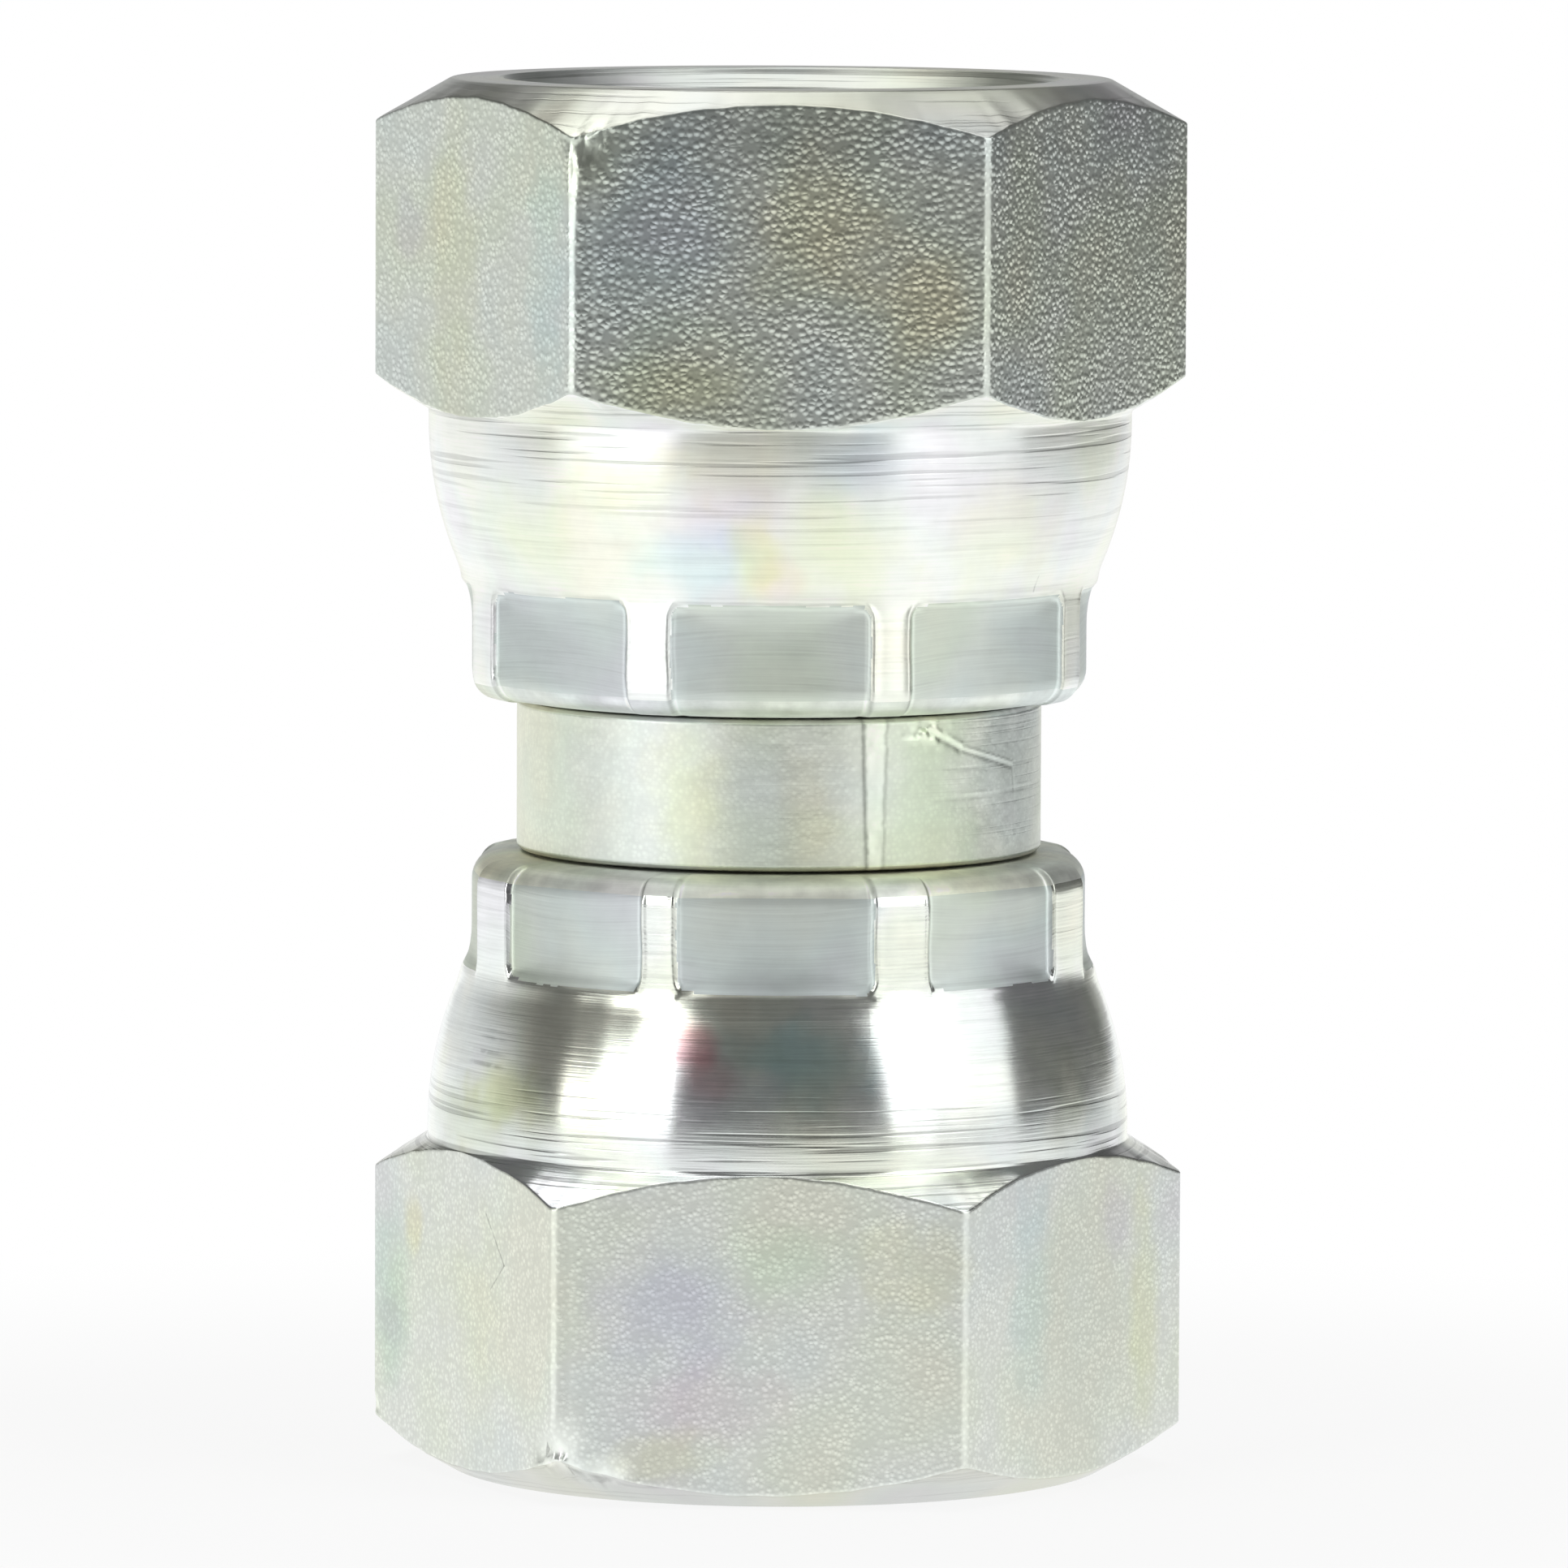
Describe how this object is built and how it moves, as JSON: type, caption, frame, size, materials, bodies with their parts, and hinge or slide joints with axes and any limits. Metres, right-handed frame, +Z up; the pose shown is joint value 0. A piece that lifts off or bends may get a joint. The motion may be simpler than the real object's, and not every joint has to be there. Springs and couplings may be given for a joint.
{
  "type": "straight adapter fitting",
  "caption": "Straight hydraulic adapter with a crimped swivel female nut at each end of a double cone nipple, zinc-plated steel.",
  "frame": {"origin": "on the fitting's axis, in the plane of the lower nut's port face, which it stands on", "axes": "+Z up along the fitting's axis, out of the upper port; -Y towards the pictured side"},
  "size_m": [0.031, 0.0278, 0.0532],
  "materials": {
    "nipple_steel": "turned steel, zinc plated, satin, with a clear passivate",
    "nut_steel": "forged, turned and crimped steel, zinc plated, with a faintly iridescent clear passivate"
  },
  "bodies": {
    "nipple": {"nipple_body": "nipple_steel"},
    "upper_nut": {"upper_swivel_nut": "nut_steel"},
    "lower_nut": {"lower_swivel_nut": "nut_steel"}
  },
  "joints": [
    {"name": "upper_nut_swivel", "type": "hinge", "parent": "nipple", "child": "upper_nut", "pos_m": [0, 0, 0.04133], "axis": [0, 0, 1], "continuous": true},
    {"name": "lower_nut_swivel", "type": "hinge", "parent": "nipple", "child": "lower_nut", "pos_m": [0, 0, 0.0119], "axis": [0, 0, -1], "continuous": true}
  ]
}
